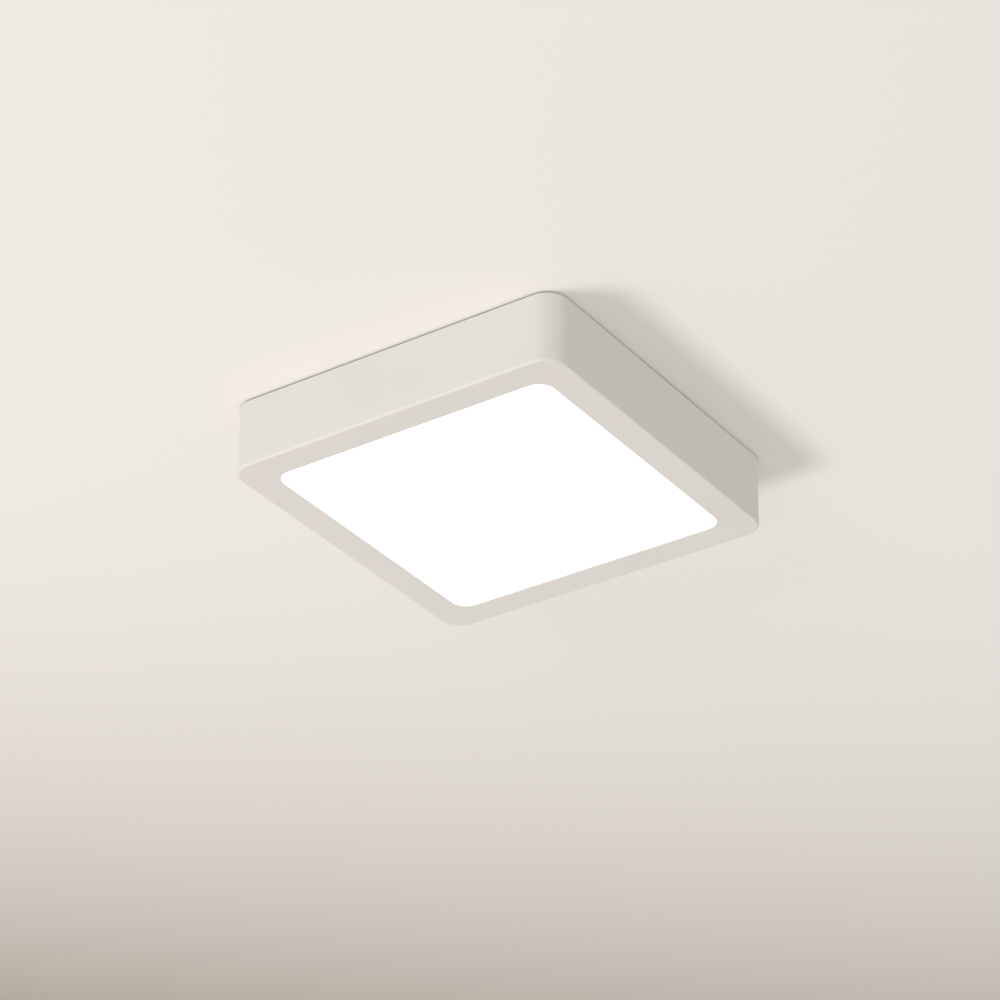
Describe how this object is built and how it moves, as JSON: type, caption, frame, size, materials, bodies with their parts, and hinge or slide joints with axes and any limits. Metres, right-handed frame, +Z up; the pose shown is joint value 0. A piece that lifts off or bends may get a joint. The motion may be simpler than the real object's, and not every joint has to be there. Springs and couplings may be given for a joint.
{
  "type": "flush mount ceiling light",
  "caption": "Square surface mounted ceiling light: white housing with rounded corners, narrow bezel and a flush lit diffuser, held by spring clips on a pressed ceiling bracket.",
  "frame": {"origin": "on the ceiling, at the middle of the mounting bracket's top face", "axes": "+Z up into the ceiling, the light hangs towards -Z; +X along the mounting bracket; -Y towards the supply cable's clamp"},
  "size_m": [0.17, 0.17, 0.034],
  "materials": {
    "powder_coat": "matt white powder coat on a die casting",
    "diffuser": "opal, lit from behind",
    "light_guide": "clear polished acrylic",
    "led_strip": "white coated flexible circuit",
    "led_chips": "phosphor-filled LED package",
    "reflector": "white film",
    "foam": "soft white foam",
    "back_plate": "rolled sheet, satin",
    "zinc_screw": "bright zinc plate",
    "grey_rubber": "matt black rubber",
    "driver_case": "fine textured white plastic",
    "board": "green solder mask on glass fibre board",
    "connector": "natural nylon",
    "fuse_body": "moulded plastic",
    "varistor_coat": "blue epoxy dip",
    "film_box": "yellow moulded box",
    "ferrite": "sintered ferrite, matt",
    "copper_winding": "enamelled copper wire",
    "coil_tape": "yellow polyester tape",
    "black_package": "black moulding compound",
    "can_sleeve": "shrunk plastic sleeve on an aluminium can",
    "terminal_body": "white polyamide",
    "contact_metal": "spring brass",
    "button_grey": "grey polyamide",
    "clamp_plastic": "white polyamide",
    "spring_steel": "bright spring steel strip",
    "rivet_alloy": "bright alloy",
    "tinned_brass": "tin plate",
    "galvanised": "galvanised sheet",
    "lead_brown": "brown insulation",
    "lead_blue": "blue insulation",
    "lead_earth": "green and yellow insulation",
    "lead_red": "red insulation",
    "lead_black": "black insulation"
  },
  "bodies": {
    "ceiling_mount": {"mounting_bracket": "galvanised", "cable_grommet": "grey_rubber"},
    "live_release": {"button_live": "button_grey"},
    "neutral_release": {"button_neutral": "button_grey"},
    "earth_release": {"button_earth": "button_grey"},
    "lamp": {"housing": "powder_coat", "diffuser": "diffuser", "light_guide": "light_guide", "led_strip": "led_strip", "led_chips": "led_chips", "reflector_sheet": "reflector", "foam_pad": "foam", "back_plate": "back_plate", "back_plate_screws": "zinc_screw", "lead_grommet": "grey_rubber", "driver_case": "driver_case", "driver_lid": "driver_case", "driver_screws": "zinc_screw", "driver_board": "board", "input_connector": "connector", "output_connector": "connector", "input_fuse": "fuse_body", "varistor": "varistor_coat", "film_capacitor": "film_box", "choke_core": "ferrite", "choke_coil": "copper_winding", "bridge_rectifier": "black_package", "input_capacitor": "can_sleeve", "transformer_core": "ferrite", "transformer_coil": "coil_tape", "driver_chip": "black_package", "output_diode": "black_package", "output_capacitor": "can_sleeve", "terminal_block": "terminal_body", "terminal_contacts": "contact_metal", "terminal_screws": "zinc_screw", "cord_clamp": "clamp_plastic", "cord_clamp_screws": "zinc_screw", "spring_clip_left": "spring_steel", "spring_clip_right": "spring_steel", "clip_rivets": "rivet_alloy", "earth_ring": "tinned_brass", "earth_screw": "zinc_screw", "live_lead": "lead_brown", "neutral_lead": "lead_blue", "earth_lead": "lead_earth", "led_lead_plus": "lead_red", "led_lead_minus": "lead_black"}
  },
  "joints": [
    {"name": "lamp_pull_off", "type": "slide", "parent": "ceiling_mount", "child": "lamp", "axis": [0, 0, -1], "range_m": [0, 0.06], "deforming": ["spring_clip_left", "spring_clip_right"]},
    {"name": "press_live", "type": "slide", "parent": "lamp", "child": "live_release", "axis": [0, 0, -1], "range_m": [0, 0.0016], "stiffness_N_per_m": 400, "springref_m": -0.0012},
    {"name": "press_neutral", "type": "slide", "parent": "lamp", "child": "neutral_release", "axis": [0, 0, -1], "range_m": [0, 0.0016], "stiffness_N_per_m": 400, "springref_m": -0.0012},
    {"name": "press_earth", "type": "slide", "parent": "lamp", "child": "earth_release", "axis": [0, 0, -1], "range_m": [0, 0.0016], "stiffness_N_per_m": 400, "springref_m": -0.0012}
  ]
}
